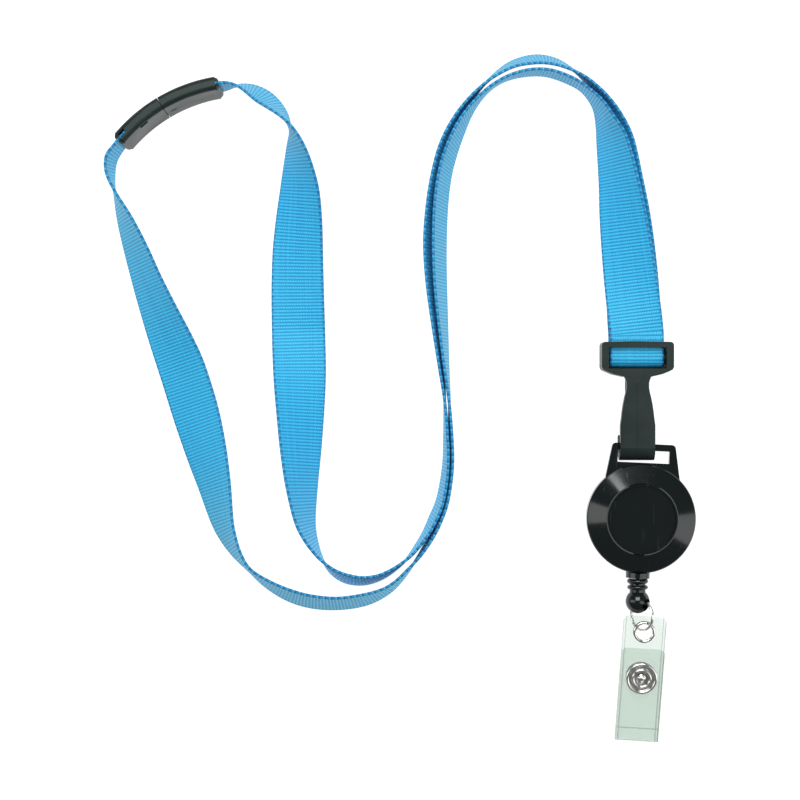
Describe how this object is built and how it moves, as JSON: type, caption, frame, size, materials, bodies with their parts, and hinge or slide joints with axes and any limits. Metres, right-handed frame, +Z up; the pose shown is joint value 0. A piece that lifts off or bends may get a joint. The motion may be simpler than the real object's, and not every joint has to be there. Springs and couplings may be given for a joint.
{
  "type": "lanyard badge holder",
  "caption": "Blue webbing neck lanyard with a breakaway clasp, a wide J hook, a retracting badge reel and a clear strap with a snap, laid out on a table.",
  "frame": {"origin": "centre of the whole lanyard's footprint, on the table that it lies on", "axes": "+Z up from the table, +Y from the clear badge strap towards the hook and the neck strap's arch, +X towards the reel"},
  "size_m": [0.1689, 0.2, 0.0174],
  "materials": {
    "webbing": "satin webbing with fine cross ribs",
    "matte_black": "fine matte moulding",
    "gloss_black": "polished",
    "nylon": "plain",
    "cord": "braided",
    "nickel": "bright plating",
    "spring_steel": "rolled",
    "clear_vinyl": "clear flexible sheet"
  },
  "bodies": {
    "strap": {"strap_leg_a": "webbing", "strap_leg_b": "webbing", "strap_leg_b_end": "webbing", "clasp_socket_body": "matte_black", "clasp_socket_flap": "matte_black"},
    "clasp_plug": {"clasp_plug_body": "matte_black", "clasp_plug_flap": "matte_black"},
    "hook": {"hook_body": "matte_black", "strap_turn": "webbing"},
    "hook_gate": {"hook_gate": "matte_black"},
    "reel_case": {"reel_back_shell": "gloss_black", "reel_front_shell": "gloss_black", "reel_post": "nylon", "reel_post_washer": "spring_steel", "reel_spring": "spring_steel", "cord_lead": "cord"},
    "reel_spool": {"reel_spool": "nylon", "cord_wound": "cord"},
    "cord_end": {"cord_end_bead": "gloss_black", "cord_knot": "cord"},
    "ring": {"split_ring": "nickel"},
    "vinyl_strap": {"vinyl_rear_strip": "clear_vinyl", "vinyl_fold": "clear_vinyl", "eyelet": "nickel", "snap_stud": "nickel", "snap_stud_cap": "nickel"},
    "vinyl_flap": {"vinyl_front_flap": "clear_vinyl", "snap_socket": "nickel", "snap_socket_post": "nickel"}
  },
  "joints": [
    {"name": "clasp_pull", "type": "slide", "parent": "strap", "child": "clasp_plug", "axis": [-0.859, -0.512, 0], "range_m": [0, 0.012], "deforming": ["strap_leg_b_end"]},
    {"name": "hook_swing", "type": "hinge", "parent": "strap", "child": "hook", "pos_m": [0.06745, 0.024, 0.0036], "axis": [1, 0, 0], "range_deg": [-75, 75], "deforming": ["strap_leg_a", "strap_leg_b"]},
    {"name": "gate_press", "type": "hinge", "parent": "hook", "child": "hook_gate", "pos_m": [0.06745, 0.0071, 0.0032], "axis": [-1, 0, 0], "range_deg": [0, 5.2], "stiffness_Nm_per_rad": 0.02},
    {"name": "reel_swing", "type": "hinge", "parent": "hook", "child": "reel_case", "pos_m": [0.06958, -0.01392, 0.0041], "axis": [0.999, -0.0454, 0], "range_deg": [-90, 90]},
    {"name": "cord_pull", "type": "slide", "parent": "reel_case", "child": "cord_end", "axis": [0, -1, 0], "range_m": [0, 0.6], "stiffness_N_per_m": 0.5, "springref_m": -0.6, "deforming": ["cord_lead"]},
    {"name": "spool_turn", "type": "hinge", "parent": "reel_case", "child": "reel_spool", "pos_m": [0.06865, -0.0345, 0.0037], "axis": [0, 0, -1], "range_deg": [0, 3240]},
    {"name": "ring_swing", "type": "hinge", "parent": "cord_end", "child": "ring", "pos_m": [0.06913, -0.05835, 0.00375], "axis": [0.6293, 0, 0.7771], "range_deg": [-25, 25]},
    {"name": "vinyl_swing", "type": "hinge", "parent": "ring", "child": "vinyl_strap", "pos_m": [0.06913, -0.06675, 0.00375], "axis": [0.6293, 0, 0.7771], "range_deg": [-4, 30]},
    {"name": "flap_open", "type": "hinge", "parent": "vinyl_strap", "child": "vinyl_flap", "pos_m": [0.06785, -0.09837, 0.00099], "axis": [0.998, -0.0628, 0], "range_deg": [0, 120], "deforming": ["vinyl_fold"]}
  ],
  "couplings": [
    {"joint": "spool_turn", "follows": "cord_pull", "rad_per_m": 93.4}
  ]
}
